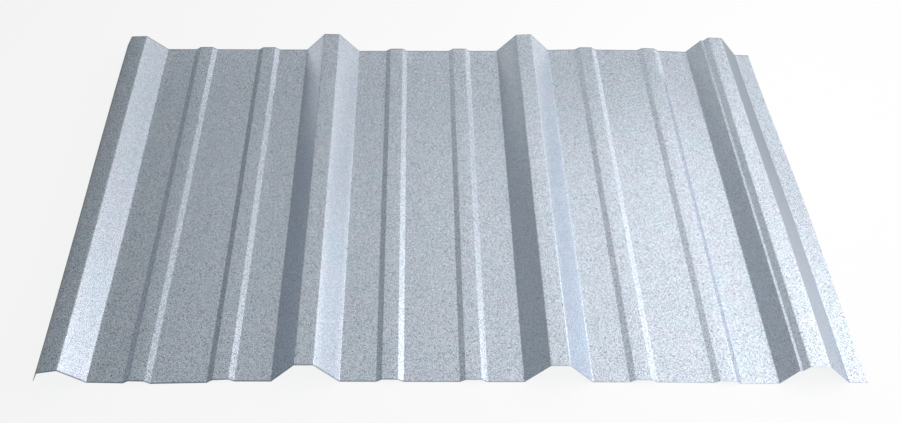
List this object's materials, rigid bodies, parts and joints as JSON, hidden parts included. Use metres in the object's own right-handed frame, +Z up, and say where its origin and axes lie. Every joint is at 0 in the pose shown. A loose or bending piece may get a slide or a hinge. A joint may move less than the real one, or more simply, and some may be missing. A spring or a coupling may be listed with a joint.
{
  "type": "trapezoidal corrugated metal sheet",
  "caption": "Thin zinc-coated steel roofing sheet with tall trapezoidal ribs, low stiffening ribs in the pans between them, a lap lip along one edge and a flat bearing leg along the other.",
  "frame": {"origin": "middle of the sheet's footprint, on the floor that the undersides of its pans lie on", "axes": "+X across the ribs, from the lap lip to the bearing leg; +Y along the ribs; +Z up, out of the weather face"},
  "size_m": [1.0006, 0.66, 0.0322],
  "materials": {
    "galvanised_steel": "bare hot-dip aluminium and zinc coating with a fine spangle, semi-gloss, no paint"
  },
  "bodies": {
    "root": {"ribbed_sheet": "galvanised_steel"}
  },
  "joints": []
}
